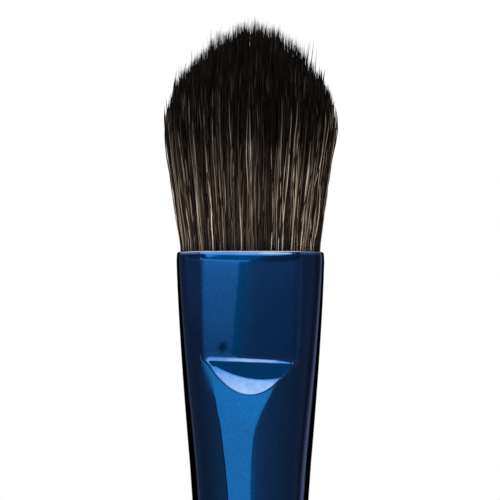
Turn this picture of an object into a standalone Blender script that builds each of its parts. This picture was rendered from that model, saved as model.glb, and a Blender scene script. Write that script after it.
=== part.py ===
# Eyeshadow blending brush, standing on the butt of its handle with the hair up.
# A turned and lacquered wooden handle is glued and crimped into a metal ferrule.
# The ferrule is a tapered round tube that widens into a flattened mouth. A press
# leaves a gently crowned face on its front and its back, and each face ends in a
# half-moon step. The mouth holds a domed tuft of hair, which is tied with thread
# round its roots and closed off below with resin. The wide faces look along Y.

import math
import random

import bmesh
import bpy
from mathutils import Vector
from mathutils.geometry import interpolate_bezier

# Driving dimensions, in metres and radians
FIT_GAP = 0.0003
MERGE_WITHIN = 0.000001
SMOOTH_ANGLE = math.radians(35)

# Handle
HANDLE_LENGTH = 0.1305
BUTT_RADIUS = 0.0023
BUTT_ROUNDING = 0.0004
BELLY_RADIUS = 0.0039
BELLY_DROP = 0.0230
SHOULDER_STEP = 0.0001
SHOULDER_ROUNDING = 0.0002
TENON_CHAMFER = 0.0005
TENON_HEADROOM = 0.0030

# Ferrule: the tube
FERRULE_LENGTH = 0.0290
FERRULE_WALL = 0.00027
FOOT_RADIUS = 0.00308
TUBE_RADIUS = 0.0041
FLATTENED_RUN = 0.0142
KNEE_SOFTNESS = 0.0006
MOUTH_HALF_WIDTH = 0.0050
MOUTH_HALF_THICKNESS = 0.0034
MOUTH_END_RADIUS = 0.0017
LIP_HEIGHT = 0.0007
LIP_TURN = 0.0001
CRIMP_FIRST = 0.0018
CRIMP_SPACING = 0.0016
CRIMP_WIDTH = 0.0010
CRIMP_DEPTH = 0.00035

# Ferrule: the pressed faces. A depth across is measured from the axis along Y,
# and a depth down from the mouth.
FACE_AT_MOUTH = 0.0026
FACE_AT_CREASE = 0.00282
FACE_CROWN_RADIUS = 0.0400
CREASE_DEPTH = 0.0074
CREASE_SOFTNESS = 0.00005
CREASE_BAND = 0.00015
SHOULDER_SOFTNESS = 0.0002
FACET_HEIGHT = 0.0014
FACET_TILT = math.radians(25.5)
CRESCENT_TILT = math.radians(19.5)

# Hair, roots, thread and resin
HAIR_LENGTH = 0.0155
TUFT_HALF_WIDTH = 0.00561
TUFT_HALF_DEPTH = 0.00365
TUFT_BELLY_HEIGHT = 0.0083
STRAND_PITCH = 0.00033
STRAND_SEAT = 0.0004
STRAND_SLEEVE = 0.0002
MOUTH_CLEARANCE = 0.00006
ROOTS_TOP_DEPTH = 0.0012
ROOTS_END_DEPTH = 0.0102
RESIN_END_DEPTH = 0.0145
THREAD_DIAMETER = 0.00036
THREAD_SPACE = 0.00045
THREAD_DEPTH = 0.0030
GLUE_FILM = 0.00035

# Counts
TUBE_SIDES = 48
HANDLE_STEPS = 32
HANDLE_CURVE_POINTS = 8
ROUNDING_POINTS = 4
CRIMPS = 2
CRIMP_POINTS = 5
THREAD_TURNS = 4
THREAD_LOOP_POINTS = 24
STRAND_SIDES = 3
STRAND_SEED = 11

# Shares and powers that shape the curves
WIDTH_POWER = 1.38
THICKNESS_POWER = 1.2
END_POWER = 1.3
DOME_POWER = 0.78
TUFT_LEAN_SHARE = 0.06
STRAND_ROOT_SHARE = 0.40
STRAND_BEND_SHARE = 0.50
STRAND_BEND_HEIGHT_SHARE = 0.86
STRAND_WANDER_SHARE = 0.10
STRAND_LENGTH_SHARE = 0.035
GLUE_SPAN_SHARES = (0.18, 0.74)
SWELL_SHARES = (0.62, 0.34, 0.40)
TAPER_SHARES = (0.38, 0.16, 0.36)
# Down the resin plug: how far along its height, and how far in from the tube's wall
RESIN_SHARES = ((0.0, 0.0), (0.4, 0.0), (0.8, 0.0), (0.93, 0.12), (1.0, 0.35))

# Heights up the brush that the sizes give
FOOT_Z = HANDLE_LENGTH + FIT_GAP
MOUTH_Z = FOOT_Z + FERRULE_LENGTH
LINING = FERRULE_WALL + FIT_GAP
TENON_LENGTH = FERRULE_LENGTH - RESIN_END_DEPTH - TENON_HEADROOM
TENON_RADIUS = FOOT_RADIUS - LINING
THREAD_PITCH = THREAD_DIAMETER + THREAD_SPACE
STRAND_ROOT_RADIUS = STRAND_PITCH * STRAND_ROOT_SHARE
STRAND_BEND_RADIUS = STRAND_PITCH * STRAND_BEND_SHARE


def clear_scene():
    for obj in list(bpy.data.objects):
        bpy.data.objects.remove(obj)


def new_collection(name):
    collection = bpy.data.collections.new(name)
    bpy.context.scene.collection.children.link(collection)
    return collection


def new_material(name, color, roughness, metallic=0.0, coat=0.0):
    material = bpy.data.materials.new(name)
    material.use_nodes = True
    surface = material.node_tree.nodes["Principled BSDF"]
    surface.inputs["Base Color"].default_value = (*color, 1.0)
    surface.inputs["Roughness"].default_value = roughness
    surface.inputs["Metallic"].default_value = metallic
    surface.inputs["Coat Weight"].default_value = coat
    material.diffuse_color = (*color, 1.0)
    return material


def place(name, data, collection, material=None):
    obj = bpy.data.objects.new(name, data)
    if material:
        data.materials.append(material)
    collection.objects.link(obj)
    return obj


def add_loft(bm, sections, open_ends=False):
    # A section is a ring of points, and the last may be a single point, which makes a tip.
    rings = [[bm.verts.new(point) for point in section] for section in sections]
    for lower, upper in zip(rings, rings[1:]):
        for index in range(len(lower)):
            if len(upper) == 1:
                bm.faces.new((lower[index - 1], lower[index], upper[0]))
            else:
                bm.faces.new((lower[index - 1], lower[index], upper[index], upper[index - 1]))
    if open_ends:
        return
    bm.faces.new(reversed(rings[0]))
    if len(rings[-1]) > 1:
        bm.faces.new(rings[-1])


def loft_mesh(name, lofts, open_ends=False):
    bm = bmesh.new()
    for sections in lofts:
        add_loft(bm, sections, open_ends)
    mesh = bpy.data.meshes.new(name)
    bm.to_mesh(mesh)
    bm.free()
    mesh.shade_smooth()
    mesh.set_sharp_from_angle(angle=SMOOTH_ANGLE)
    return mesh


def turned(name, profile, collection, material, closed=False):
    mesh = bpy.data.meshes.new(name)
    edges = [(index, index + 1) for index in range(len(profile) - 1)]
    if closed:
        edges.append((len(profile) - 1, 0))
    mesh.from_pydata([(radius, 0.0, height) for radius, height in profile], edges, [])
    obj = place(name, mesh, collection, material)
    screw = obj.modifiers.new("turn", "SCREW")
    screw.axis = "Z"
    screw.steps = HANDLE_STEPS
    screw.render_steps = HANDLE_STEPS
    screw.use_merge_vertices = True
    screw.merge_threshold = MERGE_WITHIN
    screw.use_smooth_shade = True
    return obj


def soft_min(first, second, softness):
    blend = max(0.0, softness - abs(first - second)) / softness
    return min(first, second) - blend * blend * softness / 4


def soft_max(first, second, softness):
    return -soft_min(-first, -second, softness)


# The ferrule's outline

def oval_at(depth):
    """Half width, half thickness and end radius of the tube before its faces are pressed."""
    taper = (FOOT_RADIUS - TUBE_RADIUS) / (FERRULE_LENGTH - FLATTENED_RUN) * (depth - FLATTENED_RUN)
    share = depth / FLATTENED_RUN
    oval_share = min(share, 1.0)
    half_width = MOUTH_HALF_WIDTH + (TUBE_RADIUS - MOUTH_HALF_WIDTH) * oval_share**WIDTH_POWER
    end_radius = MOUTH_END_RADIUS + (TUBE_RADIUS - MOUTH_END_RADIUS) * oval_share**END_POWER
    swelling = MOUTH_HALF_THICKNESS + (TUBE_RADIUS - MOUTH_HALF_THICKNESS) * share**THICKNESS_POWER
    half_width += min(0.0, taper)
    end_radius += min(0.0, taper)
    half_thickness = soft_min(swelling, TUBE_RADIUS + taper, KNEE_SOFTNESS)
    return half_width, half_thickness, min(end_radius, 2 * half_thickness - half_width)


def oval_point(angle, depth):
    """The point of the four-arc oval whose normal lies at this angle, and that normal."""
    half_width, half_thickness, end_radius = oval_at(depth)
    normal = Vector((math.cos(angle), math.sin(angle)))
    run = half_width - end_radius
    if run <= MERGE_WITHIN:
        return normal * half_width, normal
    face_radius = (run**2 + half_thickness**2 - end_radius**2) / (2 * (half_thickness - end_radius))
    face_centre = half_thickness - face_radius
    if abs(normal.y) * run < abs(normal.x) * -face_centre:
        return Vector((math.copysign(run, normal.x), 0.0)) + normal * end_radius, normal
    return Vector((0.0, math.copysign(1.0, normal.y) * face_centre)) + normal * face_radius, normal


def face_depth(across, depth):
    """How far from the axis the press leaves a face: crowned, and below its crease sloped out
    in a steep facet that eases into a crescent."""
    face = FACE_AT_MOUTH + (FACE_AT_CREASE - FACE_AT_MOUTH) * depth / CREASE_DEPTH
    below = depth - CREASE_DEPTH
    step = soft_max(0.0, below * math.tan(FACET_TILT), CREASE_SOFTNESS)
    if below > FACET_HEIGHT:
        step -= (below - FACET_HEIGHT) * (math.tan(FACET_TILT) - math.tan(CRESCENT_TILT))
    return face + step - across**2 / (2 * FACE_CROWN_RADIUS)


def crimp_heights():
    return [CRIMP_FIRST + index * CRIMP_SPACING for index in range(CRIMPS)]


def crimp_at(height):
    """How far a rolled ring draws the tube in, at a height over its foot."""
    nearest = min(abs(height - centre) for centre in crimp_heights())
    return CRIMP_DEPTH * math.cos(math.pi * min(nearest / CRIMP_WIDTH, 0.5)) ** 2


def lip_at(depth):
    return LIP_TURN * max(0.0, 1 - depth / LIP_HEIGHT) ** 2


def ferrule_point(angle, depth, inset=0.0):
    point, normal = oval_point(angle, depth)
    inset += lip_at(depth) + crimp_at(FERRULE_LENGTH - depth)
    across, out = point - normal * inset
    pressed = soft_min(abs(out), face_depth(across, depth) - inset, SHOULDER_SOFTNESS)
    return Vector((across, math.copysign(pressed, out)))


def ferrule_section(depth, inset=0.0):
    angles = [math.tau * (index + 0.5) / TUBE_SIDES for index in range(TUBE_SIDES)]
    return [(*ferrule_point(angle, depth, inset), MOUTH_Z - depth) for angle in angles]


def even_steps(start, end, count):
    return [start + (end - start) * index / count for index in range(count)]


def crimp_steps():
    # Heights over the ferrule's foot that follow each rolled ring, from the lowest up
    share = [index / (CRIMP_POINTS - 1) - 0.5 for index in range(CRIMP_POINTS)]
    return [centre + part * CRIMP_WIDTH for centre in crimp_heights() for part in share]


def build_ferrule(collection):
    facet_end = CREASE_DEPTH + FACET_HEIGHT
    rise_left = TUBE_RADIUS - FACE_AT_CREASE - FACET_HEIGHT * math.tan(FACET_TILT)
    half_moon_end = facet_end + rise_left / math.tan(CRESCENT_TILT)
    crimps = [FERRULE_LENGTH - height for height in reversed(crimp_steps())]
    depths = [
        *even_steps(0.0, LIP_HEIGHT, 3),
        *even_steps(LIP_HEIGHT, CREASE_DEPTH - CREASE_BAND, 3),
        CREASE_DEPTH - CREASE_BAND,
        *even_steps(CREASE_DEPTH, facet_end, 5),
        *even_steps(facet_end, half_moon_end, 5),
        *even_steps(half_moon_end, FLATTENED_RUN, 3),
        *even_steps(FLATTENED_RUN, crimps[0], 2),
        *crimps,
        FERRULE_LENGTH,
    ]
    sections = [ferrule_section(depth) for depth in reversed(depths)]
    mesh = loft_mesh("ferrule", [sections], open_ends=True)
    material = new_material("blue_metal", (0.012, 0.07, 0.22), 0.18, metallic=1.0)
    obj = place("ferrule", mesh, collection, material)
    wall = obj.modifiers.new("wall", "SOLIDIFY")
    wall.thickness = FERRULE_WALL
    wall.offset = -1.0
    wall.use_even_offset = True


def glue_span():
    # The glue ring's lower and upper end, as heights over the ferrule's foot
    start = crimp_steps()[-1]
    return [start + (TENON_LENGTH - start) * share for share in GLUE_SPAN_SHARES]


def build_handle(collection):
    low, high = glue_span()
    groove_radius = TENON_RADIUS - GLUE_FILM - FIT_GAP
    shoulder = FOOT_RADIUS + SHOULDER_STEP
    tenon_top = FOOT_Z + TENON_LENGTH
    profile = [
        (0.0, tenon_top),
        (TENON_RADIUS - TENON_CHAMFER, tenon_top),
        (TENON_RADIUS, tenon_top - TENON_CHAMFER),
        (TENON_RADIUS, FOOT_Z + high + FIT_GAP),
        (groove_radius, FOOT_Z + high + FIT_GAP),
        (groove_radius, FOOT_Z + low - FIT_GAP),
        (TENON_RADIUS, FOOT_Z + low - FIT_GAP),
    ]
    for height in reversed(crimp_steps()):
        squeezed = oval_at(FERRULE_LENGTH - height)[0] - crimp_at(height) - LINING
        profile.append((min(TENON_RADIUS, squeezed), FOOT_Z + height))
    profile += [
        (TENON_RADIUS, HANDLE_LENGTH),
        (shoulder - SHOULDER_ROUNDING, HANDLE_LENGTH),
    ]
    profile += body_curve(shoulder)
    for index in range(1, ROUNDING_POINTS + 1):
        turn = math.pi / 2 * index / ROUNDING_POINTS
        radius = BUTT_RADIUS - BUTT_ROUNDING * (1 - math.cos(turn))
        profile.append((radius, BUTT_ROUNDING * (1 - math.sin(turn))))
    profile.append((0.0, 0.0))
    material = new_material("lacquered_wood", (0.004, 0.005, 0.012), 0.12, coat=1.0)
    turned("handle", profile, collection, material)


def body_curve(shoulder):
    """The handle's outline: it swells below the ferrule and then tapers to the butt."""
    top = Vector((shoulder, HANDLE_LENGTH - SHOULDER_ROUNDING, 0.0))
    belly = Vector((BELLY_RADIUS, HANDLE_LENGTH - BELLY_DROP, 0.0))
    butt = Vector((BUTT_RADIUS, BUTT_ROUNDING, 0.0))
    swell, swell_drop, swell_rise = SWELL_SHARES
    taper_drop, taper_in, taper_rise = TAPER_SHARES
    upper = (top.y - belly.y, BELLY_RADIUS - shoulder)
    lower = (belly.y - butt.y, BELLY_RADIUS - BUTT_RADIUS)
    above = interpolate_bezier(
        top,
        top + Vector((upper[1] * swell, -upper[0] * swell_drop, 0.0)),
        belly + Vector((0.0, upper[0] * swell_rise, 0.0)),
        belly,
        HANDLE_CURVE_POINTS,
    )
    below = interpolate_bezier(
        belly,
        belly - Vector((0.0, lower[0] * taper_drop, 0.0)),
        butt + Vector((lower[1] * taper_in, lower[0] * taper_rise, 0.0)),
        butt,
        HANDLE_CURVE_POINTS,
    )
    return [(point.x, point.y) for point in above + below[1:]]


def build_handle_glue(collection):
    low, high = glue_span()
    inner = TENON_RADIUS - GLUE_FILM
    profile = [
        (oval_at(FERRULE_LENGTH - height)[0] - LINING, FOOT_Z + height) for height in (high, low)
    ]
    profile += [(inner, FOOT_Z + low), (inner, FOOT_Z + high)]
    material = new_material("hard_glue", (0.55, 0.42, 0.22), 0.35)
    turned("handle_glue", profile, collection, material, closed=True)


# The hair, what ties it and what seals it

def build_root_resin(collection):
    top = ROOTS_END_DEPTH + FIT_GAP
    height = RESIN_END_DEPTH - top
    hollow = TUBE_RADIUS - LINING
    sections = [
        ferrule_section(top + height * down, LINING + hollow * inward)
        for down, inward in reversed(RESIN_SHARES)
    ]
    mesh = loft_mesh("root_resin", [sections])
    material = new_material("amber_resin", (0.42, 0.24, 0.07), 0.2)
    place("root_resin", mesh, collection, material)


def waist_span():
    # The waist's top and bottom, as depths below the mouth
    margin = THREAD_DIAMETER / 2 + FIT_GAP
    return THREAD_DEPTH - margin, THREAD_DEPTH + THREAD_TURNS * THREAD_PITCH + margin


def root_sections():
    waist = LINING + THREAD_DIAMETER + FIT_GAP
    waist_top, waist_bottom = waist_span()
    places = [
        (ROOTS_TOP_DEPTH, LINING),
        (waist_top, LINING),
        (waist_top, waist),
        (waist_bottom, waist),
        (waist_bottom, LINING),
    ]
    flare_start = max(waist_bottom, CREASE_DEPTH)
    places += [(depth, LINING) for depth in even_steps(flare_start, ROOTS_END_DEPTH, 4)]
    places.append((ROOTS_END_DEPTH, LINING))
    return [ferrule_section(depth, inset) for depth, inset in reversed(places)]


def build_root_binding(collection):
    curve = bpy.data.curves.new("root_binding", "CURVE")
    curve.dimensions = "3D"
    curve.bevel_depth = THREAD_DIAMETER / 2
    curve.bevel_resolution = 1
    curve.use_fill_caps = True
    points = []
    for index in range(THREAD_TURNS * THREAD_LOOP_POINTS + 1):
        turns = index / THREAD_LOOP_POINTS
        depth = THREAD_DEPTH + turns * THREAD_PITCH
        across, out = ferrule_point(turns * math.tau, depth, LINING + THREAD_DIAMETER / 2)
        points.append(Vector((across, out, MOUTH_Z - depth)))
    spline = curve.splines.new("POLY")
    spline.points.add(len(points) - 1)
    for knot, point in zip(spline.points, points):
        knot.co = (*point, 1.0)
    half_loop = THREAD_LOOP_POINTS // 2
    least = min(
        (first - second).length
        for index, first in enumerate(points)
        for second in points[index + half_loop :]
    )
    print(f"root_binding: least gap to itself {(least - THREAD_DIAMETER) * 1000:.2f} mm")
    place("root_binding", curve, collection, new_material("waxed_thread", (0.6, 0.55, 0.45), 0.8))


def share_of_outline(point, outline):
    """0 at the axis and 1 on the outline, growing evenly between them."""
    shares = []
    for start, end in zip(outline, outline[1:] + outline[:1]):
        outward = Vector((end.y - start.y, start.x - end.x))
        shares.append(point.dot(outward) / start.dot(outward))
    return max(shares)


def root_places(outline):
    """Places for the strands: rows of a triangular grid, inside the outline."""
    row_step = STRAND_PITCH * math.sin(math.pi / 3)
    rows = math.ceil(MOUTH_HALF_THICKNESS / row_step)
    columns = math.ceil(MOUTH_HALF_WIDTH / STRAND_PITCH)
    for row in range(-rows, rows + 1):
        for column in range(-columns, columns + 1):
            root = Vector(((column + row % 2 / 2) * STRAND_PITCH, row * row_step))
            if share_of_outline(root, outline) <= 1:
                yield root


def strand_sections(root, reach, flare, rng):
    """A strand from its seat in the roots to its tip, which lies on the dome at its reach."""
    dome = HAIR_LENGTH - TUFT_BELLY_HEIGHT
    tip = TUFT_BELLY_HEIGHT + dome * math.sqrt(1 - reach ** (1 / DOME_POWER))
    tip *= 1 - STRAND_LENGTH_SHARE * rng.random()
    wander = [STRAND_PITCH * STRAND_WANDER_SHARE * rng.uniform(-1, 1) for _ in range(2)]
    spin = rng.uniform(0, math.tau)

    def centre(height):
        spread = max(0.0, min(1.0, (height - STRAND_SLEEVE) / (TUFT_BELLY_HEIGHT - STRAND_SLEEVE)))
        lean = 1 - TUFT_LEAN_SHARE * (max(0.0, height - TUFT_BELLY_HEIGHT) / dome) ** 2
        across = root.x * (1 + (flare[0] - 1) * spread) * lean + wander[0] * spread
        out = root.y * (1 + (flare[1] - 1) * spread) * lean + wander[1] * spread
        return Vector((across, out, MOUTH_Z + height))

    seat = -ROOTS_TOP_DEPTH - STRAND_SEAT
    sections = []
    for height, radius in (
        (seat, STRAND_ROOT_RADIUS),
        (STRAND_SLEEVE, STRAND_ROOT_RADIUS),
        (tip * STRAND_BEND_HEIGHT_SHARE, STRAND_BEND_RADIUS),
    ):
        angles = [spin + math.tau * side / STRAND_SIDES for side in range(STRAND_SIDES)]
        ring = [Vector((math.cos(angle), math.sin(angle), 0.0)) * radius for angle in angles]
        sections.append([centre(height) + point for point in ring])
    return sections + [[centre(tip)]]


def build_hair_tuft(collection, helpers):
    rng = random.Random(STRAND_SEED)
    standoff = FERRULE_WALL + MOUTH_CLEARANCE + STRAND_ROOT_RADIUS
    outline = [Vector(point[:2]) for point in ferrule_section(0.0, standoff)]
    roots = list(root_places(outline))
    flare = (
        TUFT_HALF_WIDTH / max(root.x for root in roots),
        TUFT_HALF_DEPTH / max(root.y for root in roots),
    )
    strands = [
        strand_sections(root, share_of_outline(root, outline), flare, rng) for root in roots
    ]
    print(f"hair_tuft: {len(strands)} strands")
    material = new_material("natural_hair", (0.03, 0.024, 0.02), 0.6)
    tuft = place("hair_tuft", loft_mesh("hair_tuft", [root_sections()]), collection, material)
    bundle = place("strands", loft_mesh("strands", strands), helpers, material)
    bundle.hide_render = True
    bundle.display_type = "WIRE"
    join = tuft.modifiers.new("strands", "BOOLEAN")
    join.operation = "UNION"
    join.solver = "EXACT"
    join.object = bundle


def main():
    clear_scene()
    brush = new_collection("eyeshadow_blending_brush")
    helpers = new_collection("helpers")
    build_handle(brush)
    build_handle_glue(brush)
    build_ferrule(brush)
    build_root_resin(brush)
    build_root_binding(brush)
    build_hair_tuft(brush, helpers)


main()
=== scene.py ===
# Eyeshadow blending brush: domed natural-hair tuft, blue anodised ferrule pressed flat at
# the mouth with a half-moon step, black lacquered handle. It stands on its butt, hair up,
# and its wide faces look along Y. Lengths are in metres.

import math

import bmesh
import bpy
import numpy as np
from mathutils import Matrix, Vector
from mathutils.geometry import interpolate_bezier


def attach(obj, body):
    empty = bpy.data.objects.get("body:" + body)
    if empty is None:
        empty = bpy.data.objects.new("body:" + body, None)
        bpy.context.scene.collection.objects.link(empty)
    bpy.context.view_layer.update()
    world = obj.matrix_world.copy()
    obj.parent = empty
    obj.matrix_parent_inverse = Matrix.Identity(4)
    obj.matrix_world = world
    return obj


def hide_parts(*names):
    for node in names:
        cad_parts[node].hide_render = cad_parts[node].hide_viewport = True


mm = 0.001

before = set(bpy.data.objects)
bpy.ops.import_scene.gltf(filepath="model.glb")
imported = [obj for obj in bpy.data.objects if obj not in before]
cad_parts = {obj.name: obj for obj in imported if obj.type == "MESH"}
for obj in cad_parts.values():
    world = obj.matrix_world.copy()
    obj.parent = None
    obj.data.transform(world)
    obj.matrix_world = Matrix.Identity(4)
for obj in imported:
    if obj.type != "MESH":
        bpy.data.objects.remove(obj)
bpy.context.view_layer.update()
print("frame loaded:", ", ".join(sorted(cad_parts)))


# Shared helpers

def fromHex(text):
    # sRGB hex to a linear colour with alpha
    parts = [int(text[i:i + 2], 16) / 255 for i in (1, 3, 5)]
    return (*[p / 12.92 if p <= 0.04045 else ((p + 0.055) / 1.055) ** 2.4 for p in parts], 1.0)


def addNode(tree, kind, links=None, **settings):
    # Settings are the node's own properties, links are its sockets: a value or another output
    node = tree.nodes.new("ShaderNode" + kind)
    for name, value in settings.items():
        setattr(node, name, value)
    for socket, source in (links or {}).items():
        if isinstance(source, bpy.types.NodeSocket):
            tree.links.new(source, node.inputs[socket])
        else:
            node.inputs[socket].default_value = source
    return node


def newMaterial(name, **sockets):
    material = bpy.data.materials.new(name)
    material.use_nodes = True
    tree = material.node_tree
    surface = tree.nodes["Principled BSDF"]
    for socket, value in sockets.items():
        surface.inputs[socket.replace("_", " ")].default_value = value
    return material, tree, surface


def newPiece(name, bm, material):
    mesh = bpy.data.meshes.new(name)
    bm.to_mesh(mesh)
    bm.free()
    mesh.shade_smooth()
    mesh.materials.append(material)
    piece = bpy.data.objects.new(name, mesh)
    bpy.context.scene.collection.objects.link(piece)
    return piece


def pointsOf(mesh):
    points = np.empty(len(mesh.vertices) * 3)
    mesh.vertices.foreach_get("co", points)
    return points.reshape(-1, 3)


def setPoints(mesh, points):
    mesh.vertices.foreach_set("co", np.ascontiguousarray(points, np.float32).ravel())
    mesh.update()


def setAttribute(mesh, name, values):
    attribute = mesh.attributes.new(name, "FLOAT", "POINT")
    attribute.data.foreach_set("value", np.ascontiguousarray(values, np.float32).ravel())


def spinProfile(profile, cuts, steps, closed=False):
    # A turned shell from a few (radius, height) points, each span cut into finer ones
    bm = bmesh.new()
    verts = [bm.verts.new((radius, 0.0, height)) for radius, height in profile]
    ends = verts[1:] + (verts[:1] if closed else [])
    edges = [bm.edges.new(pair) for pair in zip(verts, ends)]
    for edge, cut in zip(edges, cuts):
        if cut:
            bmesh.ops.subdivide_edges(bm, edges=[edge], cuts=cut)
    bmesh.ops.spin(bm, geom=bm.verts[:] + bm.edges[:], cent=(0, 0, 0), axis=(0, 0, 1), dvec=(0, 0, 0),
                   angle=math.tau, steps=steps, use_merge=True, use_duplicate=False)
    bmesh.ops.remove_doubles(bm, verts=bm.verts[:], dist=0.0005 * mm)
    bmesh.ops.recalc_face_normals(bm, faces=bm.faces[:])
    return bm


def softMin(first, second, softness):
    blend = np.maximum(0.0, softness - np.abs(first - second)) / softness
    return np.minimum(first, second) - blend * blend * softness / 4


def between(start, end, share):
    return start + (end - start) * share


def byPairs(value, pairs):
    # Runs straight between (place, amount) pairs, and level before the first and past the last
    return np.interp(value, *np.array(pairs).T)


# Ferrule: the solid's sizes to 0.03 mm, with the press and the lip worked finer

ferrule = dict(
    footZ=130.8 * mm, length=29 * mm, wall=0.27 * mm,
    footRadius=3.08 * mm, tubeRadius=4.1 * mm, flattenedRun=14.2 * mm,
    mouthHalfWidth=5 * mm, mouthHalfThickness=3.4 * mm, mouthEndRadius=1.7 * mm,
    widthPower=1.38, thicknessPower=1.2, endPower=1.3, kneeSoftness=0.6 * mm,
    faceAtMouth=2.57 * mm, faceAtCrease=2.79 * mm, faceCrown=40 * mm, faceTurn=0.01,
    creaseDepth=7.4 * mm, creaseSkew=0.036,
    # Below its crease the pressed face slopes out: (mm below it, degrees). A shallower facet cuts
    # that slope off and leaves the half-moon. The facet bulges: it falls off by moonBulge at 1 mm
    # from a line moonShift mm to the right, and by at most moonBulgeMost times that.
    stepSlopes=((-0.28, 0), (0.21, 26), (6, 26)), halfMoonRun=4.4 * mm,
    moonHeight=0.183 * mm, moonAngle=19.2, moonBulge=0.0118 * mm, moonBulgeMost=10, moonShift=0.72,
    moonTurn=-0.0026, moonSoftness=0.03 * mm,
    # The border is soft beside the face and crisp beside the half-moon: (mm below the crease, softness)
    borderSoftness=((0.05, 0.18 * mm), (0.45, 0.007 * mm)),
    # How steeply the rim and the lip under it are rolled in: (mm below the rim, degrees). The
    # lip's bead bows down: from bowRun on, its depths are stretched by lipBow, which goes by the
    # way across that the wall looks.
    rimBevel=0.04 * mm, bowRun=0.2 * mm,
    lipSlopes=((0, 56), (0.05, 46), (0.09, 31), (0.105, 5), (0.13, 4), (0.16, 11), (0.215, 13),
               (0.25, 5.5), (0.28, 3.7), (0.55, 3.4), (0.64, 2.2), (0.75, 0)),
    lipBow=((-0.7, 0.95), (-0.52, 0.95), (-0.38, 1.03), (-0.12, 1.2), (0.23, 1.27), (0.4, 1.27),
            (0.55, 1.05), (0.7, 1)),
    crimpHeights=(1.8 * mm, 3.4 * mm), crimpWidth=1.0 * mm, crimpDepth=0.35 * mm, crimpMargin=0.1 * mm,
    # The blank's bands of finer rings: above the crease, under the lip and under the rim
    blankRadius=10 * mm, creaseBand=0.3 * mm, lipBand=1 * mm, rimBand=0.3 * mm, steps=360,
    nearEnough=0.0001 * mm, leastSag=1e-6 * mm,
)
mouthZ = ferrule["footZ"] + ferrule["length"]


def ovalAt(depth):
    # Half width, half thickness and end radius of the unpressed tube, at a depth under the mouth
    f = ferrule
    share = depth / f["flattenedRun"]
    flattened = np.clip(share, 0, 1)
    cone = (depth - f["flattenedRun"]) / (f["length"] - f["flattenedRun"])
    taper = (f["footRadius"] - f["tubeRadius"]) * cone
    shrink = np.minimum(0, taper)
    width = between(f["mouthHalfWidth"], f["tubeRadius"], flattened ** f["widthPower"]) + shrink
    swell = between(f["mouthHalfThickness"], f["tubeRadius"], np.maximum(0, share) ** f["thicknessPower"])
    thick = softMin(swell, f["tubeRadius"] + taper, f["kneeSoftness"])
    end = between(f["mouthEndRadius"], f["tubeRadius"], flattened ** f["endPower"]) + shrink
    return width, thick, np.minimum(end, 2 * thick - width)


def slopedRise(at, slopes, samples=2000):
    # Height gained along a profile whose slope runs evenly between the given (mm, degrees) pairs
    run, degrees = np.array(slopes).T
    fine = np.linspace(run[0], run[-1], samples)
    steepness = np.tan(np.radians(np.interp(fine, run, degrees)))
    rise = np.concatenate([[0], np.cumsum((steepness[1:] + steepness[:-1]) / 2 * np.diff(fine))])
    return np.interp(at / mm, fine, rise) * mm


def crimpAt(height):
    # How far the rolled rings draw the tube in, at a height over its foot
    f = ferrule
    nearest = np.min([np.abs(height - ring) for ring in f["crimpHeights"]], axis=0)
    return f["crimpDepth"] * np.cos(np.pi * np.minimum(nearest / f["crimpWidth"], 0.5)) ** 2


def lipAt(angle, depth):
    # How far the wall is rolled in at the lip
    f = ferrule
    bow = between(1, byPairs(np.cos(angle), f["lipBow"]), np.clip(depth / f["bowRun"], 0, 1))
    lipEnd = f["lipSlopes"][-1][0] * mm
    return slopedRise(lipEnd, f["lipSlopes"]) - slopedRise(depth / bow, f["lipSlopes"])


def faceAt(across, depth):
    # How far out the press leaves the face with its step and half-moon, and how soft its border is
    f = ferrule
    below = depth - f["creaseDepth"] - f["creaseSkew"] * across
    face = between(f["faceAtMouth"], f["faceAtCrease"], depth / f["creaseDepth"])
    face += f["faceTurn"] * across - across ** 2 / (2 * f["faceCrown"])
    moon = f["moonHeight"] + math.tan(math.radians(f["moonAngle"])) * np.maximum(0, below)
    moon += f["moonTurn"] * across
    moon -= f["moonBulge"] * np.minimum(f["moonBulgeMost"], (across / mm - f["moonShift"]) ** 2)
    face += softMin(slopedRise(below, f["stepSlopes"]), moon, f["moonSoftness"])
    return face, byPairs(below / mm, f["borderSoftness"])


def pressTube(angle, depth, inset):
    # Place of a wall point of the tube, from the angle of its normal, after the press
    f = ferrule
    inset = inset + crimpAt(f["length"] - depth) + lipAt(angle, depth) * np.maximum(0, 1 - inset / f["wall"])
    halfWidth, halfThick, endRadius = ovalAt(depth)
    run = halfWidth - endRadius
    sag = np.maximum(halfThick - endRadius, f["leastSag"])
    faceRadius = (run ** 2 + halfThick ** 2 - endRadius ** 2) / (2 * sag)
    faceCentre = halfThick - faceRadius
    nx, ny = np.cos(angle), np.sin(angle)
    onEnd = (np.abs(ny) * run < np.abs(nx) * -faceCentre) | (run < f["nearEnough"])
    across = np.where(onEnd, np.sign(nx) * run + nx * endRadius, nx * faceRadius) - nx * inset
    out = np.where(onEnd, ny * endRadius, np.sign(ny) * faceCentre + ny * faceRadius) - ny * inset
    face, softness = faceAt(across, depth)
    pressed = softMin(np.abs(out), face - inset, softness)
    return np.stack([across, np.where(ny < 0, -pressed, pressed), mouthZ - depth], -1)


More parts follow.
